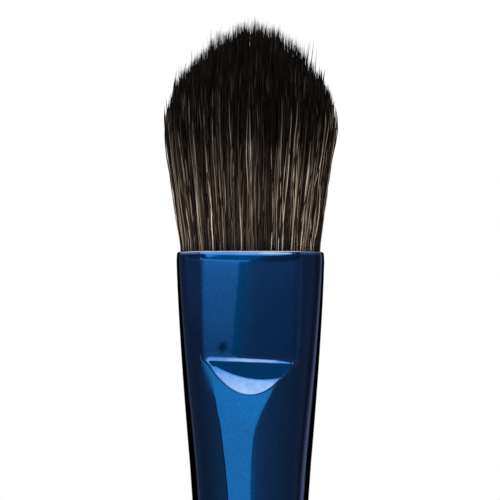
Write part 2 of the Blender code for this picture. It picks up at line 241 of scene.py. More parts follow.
# Anodised aluminium: a spun, pressed and dyed tube. The dye pales over the step, partly where the metal was
# stretched and partly as a painted highlight. A painted shade deepens the pressed face, and the sawn rim
# shows bare metal with a painted highlight streak just under it. Sockets 6 and 7 of a colour mix are its two
# colours.
anodised, tree, surface = newMaterial("blueAnodisedAluminium", Metallic=1.0, Roughness=0.04)
place = addNode(tree, "TexCoord").outputs["Object"]
stretchPaleAndHighlight = addNode(tree, "Attribute", attribute_name="stretchPaleAndHighlight").outputs["Fac"]
bareRimOrStreak = addNode(tree, "Attribute", attribute_name="bareRimAndPaintedStreak").outputs["Fac"]
pressed = addNode(tree, "Attribute", attribute_name="pressed").outputs["Fac"]
grit = addNode(tree, "TexNoise", {"Vector": place, "Scale": 1 / (0.12 * mm), "Detail": 1.0}).outputs["Fac"]
dye = addNode(tree, "ValToRGB", {"Fac": grit})
for element, position, colour in zip(dye.color_ramp.elements, (0.28, 0.72), ("#1a60a2", "#226db4")):
    element.position = position
    element.color = fromHex(colour)
# Painted shade: the pressed face's dye is mixed toward near black so that its reflection reads dimmer
faceWithPaintedShade = addNode(tree, "Mix", {"Factor": pressed, 6: dye.outputs["Color"], 7: fromHex("#000a22")},
               data_type="RGBA").outputs[2]
streaks = addNode(tree, "TexNoise", {"Vector": place, "Scale": 1 / (0.35 * mm), "Detail": 3.0})
uneven = addNode(tree, "MapRange", {"Value": streaks.outputs["Fac"], "From Min": 0.3, "From Max": 0.7,
                                    "To Min": 0.8, "To Max": 1.2}).outputs[0]
# The stretch paling, partly a painted highlight, varied in streaks
paleAndHighlightShare = addNode(tree, "Math", {0: stretchPaleAndHighlight, 1: uneven}, operation="MULTIPLY").outputs[0]
paledAndHighlit = addNode(tree, "Mix", {"Factor": paleAndHighlightShare, 6: faceWithPaintedShade, 7: fromHex("#b4c8e2")},
               data_type="RGBA").outputs[2]

# A painted reflection: a small dark fleck painted into the dye on the front of the pressed face, where a
# small dark thing is seen reflected. The noise that frays its edge averages half a unit, so it moves the
# fleck by half its reach.
paintedReflectionAt = Vector((-1.96 * mm, -2.75 * mm, mouthZ - 6.5 * mm))
paintedReflectionFray = 0.5 * mm
fray = addNode(tree, "TexNoise", {"Vector": place, "Scale": 1 / (0.25 * mm), "Detail": 3.0})
ragged = addNode(tree, "VectorMath", {0: fray.outputs["Color"], 1: (paintedReflectionFray,) * 3, 2: place},
                 operation="MULTIPLY_ADD").outputs[0]
away = addNode(tree, "VectorMath", {0: ragged, 1: [at + paintedReflectionFray / 2 for at in paintedReflectionAt]},
               operation="DISTANCE").outputs["Value"]
paintedReflection = addNode(tree, "MapRange", {"Value": away, "From Min": 0.05 * mm, "From Max": 0.5 * mm,
                                   "To Min": 0.8, "To Max": 0.0}).outputs[0]
withPaintedReflection = addNode(tree, "Mix", {"Factor": paintedReflection, 6: paledAndHighlit, 7: fromHex("#000e26")},
                  data_type="RGBA").outputs[2]
# Bare metal at the sawn rim, and a painted highlight streak just under it
rim = addNode(tree, "Mix", {"Factor": bareRimOrStreak, 6: withPaintedReflection, 7: fromHex("#e6e2e4")},
              data_type="RGBA").outputs[2]
tree.links.new(rim, surface.inputs["Base Color"])

# Where the dye pales (stretch and painted highlight), where a painted shade deepens it, and where bare metal
# or a painted highlight streak shows, as (place, strength) pairs. A name that ends in Across goes by mm
# across the face, in Below by mm below the crease, in Down by mm below the rim and in Tilt by degrees. The
# face is where the wall looks at least faceLooks to the front or back.
wearAndPaintedLight = dict(
    paleShare=0.38, paleAndHighlightTilt=((8, 0), (14, 1), (21.3, 1), (22.6, 0)), wallSkin=0.02 * mm,
    creaseAcross=((-2.7, 0.35), (-1.8, 0.35), (-1.3, 0.85), (0, 1), (1.5, 0.65), (1.9, 0.2)),
    creaseToMoonBelow=((0.2, 0), (0.45, 1)), moonAcross=((1.3, 1), (2.1, 0)),
    moonBelow=((0.5, 0.15), (0.7, 0.17), (1, 0.62), (1.4, 0.74), (1.75, 0.97), (2.1, 1.1)),
    lipAcross=((1.1, 0.4), (1.9, 0)), lipEnd=2 * mm,
    paintedFaceShadeShare=0.3, faceBelow=((-6.5, 0), (-4.2, 0.6), (-0.3, 1), (0.2, 0)), faceLooks=0.93,
    sawnDown=((0.09, 0.9), (0.12, 0)), streakDown=((0.2, 1), (0.27, 0)),
    streakAcross=((-1.4, 0), (-0.6, 0.1), (0.4, 0.15), (1, 0.45), (2.4, 0.4), (2.8, 0)),
    rimAcross=((4.6, 1), (5, 0.5)),
)


def paintFerruleWearAndLight(mesh, onOutside):
    # Gives each point how much its dye is paled (by stretch and painted highlight), how much painted shade
    # deepens it, and how bare the metal is or how strong the painted streak under the rim is
    w = wearAndPaintedLight
    normals = np.empty(len(mesh.vertices) * 3)
    mesh.vertices.foreach_get("normal", normals)
    normals = normals.reshape(-1, 3)
    points = pointsOf(mesh)
    across, depth = points[:, 0] / mm, (mouthZ - points[:, 2]) / mm
    below = depth - ferrule["creaseDepth"] / mm
    tilt = np.degrees(np.arcsin(normals[:, 2]))
    # The paling is kept to wall tilted about 8 to 22 degrees up, where the top light reflects: a painted
    # highlight on top of the stretch
    onStep = onOutside * (below < ferrule["halfMoonRun"] / mm) * byPairs(tilt, w["paleAndHighlightTilt"])
    onCrease = byPairs(across, w["creaseAcross"])
    onMoon = byPairs(below, w["moonBelow"]) * byPairs(across, w["moonAcross"])
    onPress = between(onCrease, onMoon, byPairs(below, w["creaseToMoonBelow"]))
    pales = np.where(depth < w["lipEnd"] / mm, byPairs(across, w["lipAcross"]), onPress)
    setAttribute(mesh, "stretchPaleAndHighlight", w["paleShare"] * onStep * pales)
    # Painted shade on the pressed face, below and above the crease
    onFace = byPairs(below, w["faceBelow"]) * (np.abs(normals[:, 1]) > w["faceLooks"])
    setAttribute(mesh, "pressed", w["paintedFaceShadeShare"] * onFace)
    # Painted highlight: a pale streak just under the rim, stronger to the right; the sawn rim itself is bare
    # metal
    paintedStreak = byPairs(depth, w["streakDown"]) * byPairs(across, w["streakAcross"])
    cut = np.maximum(byPairs(depth, w["sawnDown"]), paintedStreak)
    setAttribute(mesh, "bareRimAndPaintedStreak", cut * byPairs(np.abs(across), w["rimAcross"]))


def rollBlank():
    # The tube before the press: a straight one of blankRadius, with a bevelled rim
    f = ferrule
    firstCrimp, lastCrimp = f["crimpHeights"][0], f["crimpHeights"][-1]
    crimpReach = f["crimpWidth"] / 2 + f["crimpMargin"]
    # Depths under the mouth, and how many rings cut the span above each, outside and inside
    stations = [(f["length"], 4, 2), (f["length"] - firstCrimp + crimpReach, 26, 8),
                (f["length"] - lastCrimp - crimpReach, 14, 8), (f["flattenedRun"], 10, 8),
                (f["creaseDepth"] + f["halfMoonRun"], 84, 18),
                (f["creaseDepth"] - f["creaseBand"], 20, 6), (f["lipBand"], 14, 4), (f["rimBand"], 14, 2)]
    depths, cutsOutside, cutsInside = zip(*stations)
    outside, inside = f["blankRadius"], f["blankRadius"] - f["wall"]
    profile = [(outside, mouthZ - depth) for depth in depths + (0,)]
    profile += [(inside, mouthZ - depth) for depth in (0,) + depths[::-1]]
    bm = spinProfile(profile, cutsOutside + (0,) + cutsInside[::-1] + (0,), f["steps"], closed=True)
    corners = []
    for edge in bm.edges:
        first, second = edge.verts
        level = all(abs(vert.co.z - mouthZ) < f["nearEnough"] for vert in edge.verts)
        if level and abs(first.co.xy.length - second.co.xy.length) < f["nearEnough"]:
            corners.append(edge)
    bmesh.ops.bevel(bm, geom=corners, offset=f["rimBevel"], segments=2, affect="EDGES", profile=0.5,
                    material=-1)
    bmesh.ops.recalc_face_normals(bm, faces=bm.faces[:])
    return bm


def buildFerrule():
    piece = newPiece("pressedFerrule", rollBlank(), anodised)
    points = pointsOf(piece.data)
    inset = ferrule["blankRadius"] - np.hypot(points[:, 0], points[:, 1])
    angle = np.arctan2(points[:, 1], points[:, 0])
    setPoints(piece.data, pressTube(angle, mouthZ - points[:, 2], inset))
    paintFerruleWearAndLight(piece.data, inset < wearAndPaintedLight["wallSkin"])
    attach(piece, "root")
    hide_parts("ferrule")


buildFerrule()
print("ferrule pressed")


# Handle: turned wood under black lacquer, with the tenon that is glued and crimped in the ferrule

handle = dict(
    length=130.5 * mm, buttRadius=2.3 * mm, buttRounding=0.4 * mm, bellyRadius=3.9 * mm,
    bellyDrop=23 * mm, shoulderStep=0.1 * mm, shoulderRounding=0.2 * mm,
    tenonLength=11.5 * mm, tenonChamfer=0.5 * mm, fitGap=0.3 * mm, glueFilm=0.35 * mm,
    glueSpan=(0.18, 0.74), swell=(0.62, 0.34, 0.40), taper=(0.38, 0.16, 0.36),
    curvePoints=40, crimpPoints=27, roundingSegments=6, steps=128, sharpFrom=40, nearEnough=0.001 * mm,
)

# Lacquered wood: several coats of black gloss lacquer, buffed. The film levels out but keeps a
# faint ripple, and the turned grain lies under it.
lacquer, tree, surface = newMaterial("blackLacqueredWood", Roughness=0.16, Specular_IOR_Level=0.12,
                                     Coat_Weight=1.0, Coat_Roughness=0.04)
place = addNode(tree, "TexCoord").outputs["Object"]
along = addNode(tree, "Mapping", {"Vector": place, "Scale": (1.0, 1.0, 0.04)}).outputs["Vector"]
grain = addNode(tree, "TexNoise", {"Vector": along, "Scale": 1 / (0.6 * mm), "Detail": 5.0}).outputs["Fac"]
tone = addNode(tree, "ValToRGB", {"Fac": grain})
for element, colour in zip(tone.color_ramp.elements, ("#07080b", "#15161c")):
    element.color = fromHex(colour)
ripple = addNode(tree, "TexNoise", {"Vector": place, "Scale": 1 / (2.5 * mm), "Detail": 1.0}).outputs["Fac"]
film = addNode(tree, "Bump", {"Height": ripple, "Strength": 0.05, "Distance": 0.05 * mm}).outputs["Normal"]
tree.links.new(tone.outputs["Color"], surface.inputs["Base Color"])
tree.links.new(film, surface.inputs["Coat Normal"])


def handleOutline(shoulder):
    # (radius, height) points of the handle's body, from its shoulder down to its butt
    h = handle
    top = Vector((shoulder, h["length"] - h["shoulderRounding"], 0))
    belly = Vector((h["bellyRadius"], h["length"] - h["bellyDrop"], 0))
    butt = Vector((h["buttRadius"], h["buttRounding"], 0))
    toBelly, toButt = belly - top, butt - belly
    swellOut, swellDown, swellUp = h["swell"]
    taperDown, taperIn, taperUp = h["taper"]
    fromTop = top + Vector((toBelly.x * swellOut, toBelly.y * swellDown, 0))
    intoBelly = belly - Vector((0, toBelly.y * swellUp, 0))
    fromBelly = belly + Vector((0, toButt.y * taperDown, 0))
    intoButt = butt - Vector((toButt.x * taperIn, toButt.y * taperUp, 0))
    above = interpolate_bezier(top, fromTop, intoBelly, belly, h["curvePoints"])
    below = interpolate_bezier(belly, fromBelly, intoButt, butt, h["curvePoints"])
    return [(point.x, point.y) for point in above + below[1:]]


def tenonOutline():
    # (radius, height) points of the tenon, from its top down past the glue's groove and the crimps
    h, f = handle, ferrule
    tenonRadius = f["footRadius"] - f["wall"] - h["fitGap"]
    grooveRadius = tenonRadius - h["glueFilm"] - h["fitGap"]
    tenonTop = f["footZ"] + h["tenonLength"]
    crimpReach = f["crimpWidth"] / 2
    crimpEnd, crimpStart = f["crimpHeights"][-1] + crimpReach, f["crimpHeights"][0] - crimpReach
    low, high = [f["footZ"] + between(crimpEnd, h["tenonLength"], share) for share in h["glueSpan"]]
    profile = [(0, tenonTop), (tenonRadius - h["tenonChamfer"], tenonTop),
               (tenonRadius, tenonTop - h["tenonChamfer"]),
               (tenonRadius, high + h["fitGap"]), (grooveRadius, high + h["fitGap"]),
               (grooveRadius, low - h["fitGap"]), (tenonRadius, low - h["fitGap"])]
    for height in np.linspace(crimpEnd, crimpStart, h["crimpPoints"]):
        coneShare = height / (f["length"] - f["flattenedRun"])
        hollow = between(f["footRadius"], f["tubeRadius"], coneShare) - crimpAt(height) - f["wall"]
        profile.append((min(tenonRadius, hollow - h["fitGap"]), f["footZ"] + height))
    return profile + [(tenonRadius, h["length"])]


def buildHandle():
    h = handle
    shoulder = ferrule["footRadius"] + h["shoulderStep"]
    profile = tenonOutline() + [(shoulder, h["length"])]
    profile += handleOutline(shoulder)[1:-1]
    profile += [(h["buttRadius"], 0), (0, 0)]
    bm = spinProfile(profile, [0] * len(profile), h["steps"])
    for height, radius, offset in ((h["length"], shoulder, h["shoulderRounding"]),
                                   (0, h["buttRadius"], h["buttRounding"])):
        onRing = {vert for vert in bm.verts if abs(vert.co.z - height) < h["nearEnough"]
                  and abs(vert.co.xy.length - radius) < h["nearEnough"]}
        ring = [edge for edge in bm.edges if onRing.issuperset(edge.verts)]
        bmesh.ops.bevel(bm, geom=ring, offset=offset, segments=h["roundingSegments"], affect="EDGES",
                        profile=0.5, material=-1)
    bmesh.ops.recalc_face_normals(bm, faces=bm.faces[:])
    piece = newPiece("lacqueredHandle", bm, lacquer)
    piece.data.set_sharp_from_angle(angle=math.radians(h["sharpFrom"]))
    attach(piece, "root")
    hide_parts("handle")


buildHandle()
print("handle turned")


# Hair: thousands of tapering hairs laid out by one rule. They spread from the mouth to the
# belly, stand up from there, and their tips were cupped into a dome. Neighbouring tips cling
# together in locks.

tuft = dict(
    length=15.5 * mm, halfWidth=5.72 * mm, halfDepth=3.65 * mm, bellyHeight=8.3 * mm, domePower=0.78,
    domeLean=0.05, apexShift=0.25 * mm, rootDepth=1.6 * mm, clearance=0.02 * mm, seed=7,
    # Roots stand pitch apart, moved by up to jitter of it. Past looseReach, looseShare are left out.
    pitch=0.065 * mm, jitter=0.4, spareRows=2, looseReach=0.95, looseShare=0.3,
    # How thick a hair is at each share of its length. Towards the tips a few cling together as one.
    hairRadius=0.041 * mm, thinnest=0.7,
    taper=((0, 0.9), (0.45, 1), (0.8, 1.1), (0.93, 1.55), (0.985, 1.2), (1, 0)),
    coatReach=0.8, coatSpans=12, coreSpans=6, spanPower=0.9,
    # Locks are cells of lockSize. lockPull draws a hair to its lock's middle, by its share of height.
    lockSize=(0.2 * mm, 0.45 * mm), lockScatter=0.3,
    lockPull=((0, 0), (0.3, 0.06), (0.6, 0.25), (0.85, 0.7), (1, 0.95)),
    lockLean=(0.16 * mm, 0.08 * mm), lockLeanPower=1.5, lockUneven=0.22 * mm,
    # Tips reach tipExtra past the solid's dome. A share of shortHairs is up to cutShort shorter.
    tipExtra=0.42 * mm, tipUneven=0.004, shortHairs=0.6, cutShort=0.09,
    # A wave and a finer ripple: (size, fewest turns, most turns). They grow over the first
    # waveRise of a hair, lose waveFall by its tip and reach depthShare as far front to back.
    wave=(0.14 * mm, 0.6, 1.3), ripple=(0.04 * mm, 2.0, 3.6), waveRise=0.2, waveFall=0.7,
    depthShare=0.3, lean=0.009, strays=0.003, strayLean=(0.015, 0.045), nearAxis=0.1 * mm,
    crossing=0.05, crossLean=0.05, crossReach=0.7,
    # A hair turns near black over darkRun, with its middle at darkFrom and, at the sides, up to a further
    # given height above that: a painted glow of backlight through the outermost hairs. The last pairs, by mm
    # over the rim, give a painted shade on the roots just above it.
    darkFrom=6.5 * mm, darkVaries=1.1 * mm, darkRun=6 * mm, paintedBacklightRise=2.5 * mm, paintedBacklightReach=0.88,
    blackest=0.985, blackVaries=0.07, paintedRimShadeByHeight=((0.02, 0.6), (0.13, 0)),
)


def outlineOfMouth(inset, count=120):
    angles = np.arange(count) / count * 2 * np.pi
    return pressTube(angles, np.zeros(count), np.full(count, inset))[:, :2]


def reachIn(points, outline):
    # 0 on the axis and 1 on the outline, growing evenly between them
    following = np.roll(outline, -1, axis=0)
    outward = np.stack([following[:, 1] - outline[:, 1], outline[:, 0] - following[:, 0]], -1)
    return (points @ outward.T / np.sum(outline * outward, axis=1)).max(axis=1)


def smoothStep(value):
    value = np.clip(value, 0, 1)
    return value * value * (3 - 2 * value)


# Natural goat hair, bleached unevenly by nature: most hairs are dark brown, some taupe and a few
# pale. Brightness varies along each hair at random, partly as painted glints, and the ends were dyed black.
# A painted shade darkens the roots just above the rim, and a painted backlight glow keeps some side tips
# brown.
goatHair, tree, surface = newMaterial("naturalGoatHair", Roughness=0.5, Specular_IOR_Level=0.09)
shade = addNode(tree, "Attribute", attribute_name="rootShade").outputs["Fac"]
blackDyeAndRimShade = addNode(tree, "Attribute", attribute_name="blackDyeAndRimShade").outputs["Fac"]
roots = addNode(tree, "ValToRGB", {"Fac": shade})
for position, colour in ((0.45, "#322824"), (0.66, "#5d4f44"), (0.84, "#a89784")):
    roots.color_ramp.elements.new(position).color = fromHex(colour)
roots.color_ramp.elements[0].color = fromHex("#1c1613")
roots.color_ramp.elements[-1].color = fromHex("#eedeca")
place = addNode(tree, "TexCoord").outputs["Object"]
# Brightness along each hair: random tone, partly painted glints that break the pale hairs into short bright
# runs
alongHairToneAndGlints = addNode(tree, "TexNoise", {"Vector": place, "W": shade, "Scale": 1 / (1.6 * mm), "Detail": 4.0},
                 noise_dimensions="4D").outputs["Fac"]
mottle = addNode(tree, "MapRange", {"Value": alongHairToneAndGlints, "From Min": 0.3, "From Max": 0.7,
                                    "To Min": 0.45, "To Max": 1.4}).outputs[0]
mottled = addNode(tree, "VectorMath", {0: roots.outputs["Color"], "Scale": mottle},
                  operation="SCALE").outputs[0]
dyed = addNode(tree, "Mix", {"Factor": blackDyeAndRimShade, 6: mottled, 7: fromHex("#040302")},
               data_type="RGBA").outputs[2]
tree.links.new(dyed, surface.inputs["Base Color"])


def strandTemplate(spans):
    # One hair: a three-sided spike one unit long, cut across into spans that shorten upwards
    bm = bmesh.new()
    bmesh.ops.create_cone(bm, cap_ends=False, segments=3, radius1=1.0, radius2=0.0, depth=1.0)
    bmesh.ops.translate(bm, verts=bm.verts[:], vec=(0, 0, 0.5))
    bmesh.ops.remove_doubles(bm, verts=bm.verts[:], dist=1e-4)
    for cut in range(1, spans):
        height = (cut / spans) ** tuft["spanPower"]
        bmesh.ops.bisect_plane(bm, geom=bm.verts[:] + bm.edges[:] + bm.faces[:], plane_co=(0, 0, height),
                               plane_no=(0, 0, 1))
    bmesh.ops.recalc_face_normals(bm, faces=bm.faces[:])
    return bm


def layRoots(rng):
    # Roots on a jittered triangular grid inside the mouth, and how far out each one lies. The
    # outermost are thinned, so that darker hair shows between them.
    t = tuft
    outline = outlineOfMouth(ferrule["wall"] + t["clearance"] + t["hairRadius"])
    half = outline.max(axis=0)
    columns, rows = [np.arange(-count, count + 1)
                     for count in (math.ceil(size / t["pitch"]) + t["spareRows"] for size in half)]
    grid = np.stack(np.meshgrid(columns, rows), -1).reshape(-1, 2).astype(float)
    grid[:, 0] += grid[:, 1] % 2 / 2
    places = grid * (t["pitch"], t["pitch"] * math.sin(math.pi / 3))
    places += rng.uniform(-t["jitter"], t["jitter"], places.shape) * t["pitch"]
    reach = reachIn(places, outline)
    kept = (reach < 1) & ((reach < t["looseReach"]) | (rng.random(len(reach)) > t["looseShare"]))
    return places[kept], reach[kept], half


def gatherLocks(places, rng):
    # The lock that each hair belongs to, and each hair's way to the middle of its lock
    scatter = rng.uniform(-tuft["lockScatter"], tuft["lockScatter"], places.shape)
    cells = np.round(places / tuft["lockSize"] + scatter).astype(int)
    _, lock = np.unique(cells, axis=0, return_inverse=True)
    lock = lock.reshape(-1)
    members = np.bincount(lock)
    middles = np.stack([np.bincount(lock, places[:, axis]) / members for axis in (0, 1)], -1)
    return lock, middles[lock] - places


def cutTips(reach, lock, rng):
    # How high over the mouth each hair ends
    t = tuft
    count = len(reach)
    dome = t["length"] - t["bellyHeight"]
    tip = t["bellyHeight"] + dome * np.sqrt(1 - reach ** (1 / t["domePower"])) + t["tipExtra"]
    tip += np.minimum(rng.normal(0, t["lockUneven"], lock.max() + 1), t["lockUneven"])[lock]
    uneven = t["tipUneven"] * rng.random(count)
    short = (rng.random(count) < t["shortHairs"]) * rng.random(count)
    return tip * (1 - uneven - t["cutShort"] * short)


def leanHairs(places, sideways, rng):
    # Sideways run per height, across and deep: all lean a little, strays outwards, and a few cross
    t = tuft
    count = len(places)
    outward = places / np.maximum(np.hypot(*places.T), t["nearAxis"])[:, None]
    stray = (rng.random(count) < t["strays"]) * rng.uniform(*t["strayLean"], count)
    lean = rng.normal(0, t["lean"], (count, 2)) * (1, t["depthShare"]) + outward * stray[:, None]
    crosses = rng.normal(0, t["crossLean"], count) * (rng.random(count) < t["crossing"])
    lean[:, 0] += crosses * (sideways < t["crossReach"])
    return lean


def combHairs(rng):
    # One row of numbers for each hair, by name
    t = tuft
    places, reach, half = layRoots(rng)
    count = len(places)
    sideways = np.abs(places[:, 0]) / half[0]
    lock, toMiddle = gatherLocks(places, rng)
    waveSizes, fewestTurns, mostTurns = np.array([t["wave"], t["ripple"]]).T
    return dict(
        places=places, reach=reach, toMiddle=toMiddle,
        tip=cutTips(reach, lock, rng),
        lean=leanHairs(places, sideways, rng),
        shade=rng.random(count),
        blackest=t["blackest"] - t["blackVaries"] * rng.random(count) ** 2,
        lockLean=rng.normal(0, 1, (lock.max() + 1, 2))[lock] * t["lockLean"],
        flare=np.tile(np.array([t["halfWidth"], t["halfDepth"]]) / half, (count, 1)),
        waveSize=rng.normal(0, 1, (count, 2)) * waveSizes,
        wavePhase=rng.uniform(0, 2 * np.pi, (count, 2)),
        waveTurns=rng.uniform(fewestTurns, mostTurns, (count, 2)),
        spin=rng.uniform(0, 2 * np.pi, count),
        radius=rng.uniform(t["thinnest"], 1.0, count) * t["hairRadius"],
        # Side hairs turn black higher up: a painted glow of backlight through the outermost hairs
        blackAt=rng.normal(t["darkFrom"], t["darkVaries"], count)
        + t["paintedBacklightRise"] * rng.random(count) * (sideways > t["paintedBacklightReach"]),
    )


def waveHairs(hairs, free):
    # Sideways sway of each hair's wave and ripple, at each share of its free length
    t = tuft
    sway = np.zeros_like(free)
    waves = (hairs[key].T[:, :, None] for key in ("waveSize", "wavePhase", "waveTurns"))
    for size, phase, turns in zip(*waves):
        sway += size * np.sin(phase + 2 * np.pi * turns * free)
    return sway * np.clip(free / t["waveRise"], 0, 1) * (1 - t["waveFall"] * free ** 2)


def bendHairs(hairs, up):
    # The middle of each hair, across and deep, and its height over the mouth
    t = tuft
    height = -t["rootDepth"] + up * (hairs["tip"][:, None] + t["rootDepth"])
    spread = np.clip(height / t["bellyHeight"], 0, 1)
    over = np.clip((height - t["bellyHeight"]) / (t["length"] - t["bellyHeight"]), 0, 1)
    free = np.clip(height / t["length"], 0, 1)
    pull = byPairs(free, t["lockPull"])
    wave = waveHairs(hairs, free)
    middles = []
    for axis, share in ((0, 1), (1, t["depthShare"])):
        root, toMiddle, flare, lockLean, lean = (
            hairs[key][:, axis, None] for key in ("places", "toMiddle", "flare", "lockLean", "lean"))
        way = (root + toMiddle * pull) * between(1, flare, spread) * (1 - t["domeLean"] * over ** 2)
        sway = wave * share + lockLean * free ** t["lockLeanPower"]
        middles.append(way + sway + lean * np.maximum(0, height))
    middles[0] += t["apexShift"] * over ** 3
    return middles, height


def copyHair(name, spans, count):
    # A piece that holds the template many times over, and the points of one template
    piece = newPiece(name, strandTemplate(spans), goatHair)
    template = pointsOf(piece.data)
    copies = piece.modifiers.new("copies", "ARRAY")
    copies.count = count
    copies.use_relative_offset = False
    evaluated = piece.evaluated_get(bpy.context.evaluated_depsgraph_get())
    piece.data = bpy.data.meshes.new_from_object(evaluated)
    piece.modifiers.clear()
    piece.data.name = name
    return piece, template


def standHairs(name, hairs, spans):
    # A piece of many hairs: copies of the template, each bent along its own path
    t = tuft
    piece, template = copyHair(name, spans, len(hairs["tip"]))
    up, around = template[:, 2], np.arctan2(template[:, 1], template[:, 0])
    (across, out), height = bendHairs(hairs, up)
    slim = hairs["radius"][:, None] * byPairs(up, t["taper"])
    turned = around + hairs["spin"][:, None]
    points = [across + slim * np.cos(turned), out + slim * np.sin(turned), mouthZ + height]
    setPoints(piece.data, np.stack(points, -1).reshape(-1, 3))
    setAttribute(piece.data, "rootShade", np.repeat(hairs["shade"], len(up)))
    risen = (height - hairs["blackAt"][:, None]) / t["darkRun"]
    dyed = hairs["blackest"][:, None] * smoothStep(risen + 0.5)
    # Painted shade: the roots just above the rim are darkened where the rim shades them
    paintedRimShade = byPairs(height / mm, t["paintedRimShadeByHeight"])
    setAttribute(piece.data, "blackDyeAndRimShade", np.maximum(dyed, paintedRimShade))
    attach(piece, "root")
    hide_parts("hair_tuft")


def buildTuft():
    t = tuft
    hairs = combHairs(np.random.default_rng(t["seed"]))
    coat = hairs["reach"] > t["coatReach"]
    left, front = (hairs["places"] < 0).T
    pieces = (("frontCoat", coat & front, t["coatSpans"]), ("backCoat", coat & ~front, t["coatSpans"]),
              ("leftCore", ~coat & left, t["coreSpans"]), ("rightCore", ~coat & ~left, t["coreSpans"]))
    for name, chosen, spans in pieces:
        standHairs(name, {key: values[chosen] for key, values in hairs.items()}, spans)
        print(name, chosen.sum(), "hairs")


buildTuft()
print("tuft set")


# Hidden pieces keep their solids and get their own finishes

def dressNode(name, material):
    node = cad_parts[name]
    node.data.materials.clear()
    node.data.materials.append(material)


# Epoxy: cast round the roots, it sets to a clear amber that fine bubbles cloud a little.
resin, tree, surface = newMaterial("amberEpoxy", Roughness=0.2)
place = addNode(tree, "TexCoord").outputs["Object"]
cloud = addNode(tree, "TexNoise", {"Vector": place, "Scale": 1 / (1.2 * mm), "Detail": 4.0}).outputs["Fac"]
tone = addNode(tree, "ValToRGB", {"Fac": cloud})
for element, colour in zip(tone.color_ramp.elements, ("#7a4c18", "#b98136")):
    element.color = fromHex(colour)
tree.links.new(tone.outputs["Color"], surface.inputs["Base Color"])
dressNode("root_resin", resin)

# Hide glue: brushed on thin, it dries to a dull straw film.
glue, tree, surface = newMaterial("driedGlue", Roughness=0.4)
place = addNode(tree, "TexCoord").outputs["Object"]
cloud = addNode(tree, "TexNoise", {"Vector": place, "Scale": 1 / (0.8 * mm), "Detail": 3.0}).outputs["Fac"]
tone = addNode(tree, "ValToRGB", {"Fac": cloud})
for element, colour in zip(tone.color_ramp.elements, ("#b79a62", "#d2ba86")):
    element.color = fromHex(colour)
tree.links.new(tone.outputs["Color"], surface.inputs["Base Color"])
dressNode("handle_glue", glue)

# Waxed linen thread: two-ply, its twist shows as slanting ribs. A diagonal wave repeats each
# tau / 10 of its units along x + y + z.
ribSpacing = 0.57 * mm
ribScale = math.tau / 10 / math.sqrt(3) / ribSpacing
thread, tree, surface = newMaterial("waxedLinenThread", Roughness=0.65)
place = addNode(tree, "TexCoord").outputs["Object"]
twist = addNode(tree, "TexWave", {"Vector": place, "Scale": ribScale, "Distortion": 1.5},
                bands_direction="DIAGONAL").outputs["Fac"]
tone = addNode(tree, "ValToRGB", {"Fac": twist})
for element, colour in zip(tone.color_ramp.elements, ("#9a8d72", "#d3c8ae")):
    element.color = fromHex(colour)
ribs = addNode(tree, "Bump", {"Height": twist, "Strength": 0.5, "Distance": 0.05 * mm}).outputs["Normal"]
tree.links.new(tone.outputs["Color"], surface.inputs["Base Color"])
tree.links.new(ribs, surface.inputs["Normal"])
dressNode("root_binding", thread)
print("hidden pieces dressed")


# Studio

studio = dict(
    headZ=mouthZ - 4.8 * mm, aimZ=mouthZ + 0.13 * mm, aimX=-0.03 * mm, azimuth=-1.5, elevation=-2.5,
    distance=600 * mm, viewWidth=33.7 * mm, cardDistance=450 * mm, surroundDistance=520 * mm,
    flagDistance=30 * mm, layerGap=10 * mm, floorHalf=2500 * mm, floorMottle=25 * mm,
)


def direction(azimuth, elevation):
    # Unit vector from the head: azimuth 0 is towards the camera and grows to the right
    a, e = math.radians(azimuth + studio["azimuth"]), math.radians(elevation)
    return Vector((math.sin(a) * math.cos(e), -math.cos(a) * math.cos(e), math.sin(e)))


studioCard = bpy.data.materials.new("studioCard")
studioCard.use_nodes = True
tree = studioCard.node_tree
tree.nodes.clear()
glow = addNode(tree, "Attribute", attribute_name="glow").outputs["Color"]
shine = addNode(tree, "Emission", {"Color": glow, "Strength": 1.0})
addNode(tree, "OutputMaterial", {"Surface": shine.outputs[0]})


def blendStops(value, stops):
    # Linear colour at each value, blended between (value, hex, strength) stops
    at = [stop[0] for stop in stops]
    glows = np.array([fromHex(stop[1])[:3] for stop in stops]) * [[stop[2]] for stop in stops]
    channels = [np.interp(value, at, glow) for glow in glows.T]
    return np.stack(channels + [np.ones(len(value))], -1)


def addCard(name, left, right, rows=(), columns=(), shares=(), distance=studio["cardDistance"], segments=72):
    # A card bent round the head and seen only in reflections. left and right are its edges as
    # (elevation, azimuth) pairs from the lowest up. Its glow goes by elevation (rows), by azimuth
    # (columns) and by the share of its width (shares).
    bm = bmesh.new()
    bmesh.ops.create_grid(bm, x_segments=segments, y_segments=60, size=1.0)
    card = newPiece(name, bm, studioCard)
    across, up = (pointsOf(card.data)[:, :2].T + 1) / 2
    left, right = np.array(left).T, np.array(right).T
    elevation = left[0][0] + (left[0][-1] - left[0][0]) * up
    start, end = np.interp(elevation, *left), np.interp(elevation, *right)
    azimuth = start + (end - start) * across
    a, e = np.radians(azimuth + studio["azimuth"]), np.radians(elevation)
    points = np.stack([np.sin(a) * np.cos(e), -np.cos(a) * np.cos(e), np.sin(e)], -1) * distance
    setPoints(card.data, points + (0, 0, studio["headZ"]))
    glow = np.ones((len(across), 4))
    for value, stops in ((elevation, rows), (azimuth, columns), (across, shares)):
        if stops:
            glow *= blendStops(value, stops)
    attribute = card.data.attributes.new("glow", "FLOAT_COLOR", "POINT")
    attribute.data.foreach_set("color", glow.astype(np.float32).ravel())
    for ray in ("camera", "diffuse", "shadow", "transmission", "volume_scatter"):
        setattr(card, "visible_" + ray, False)


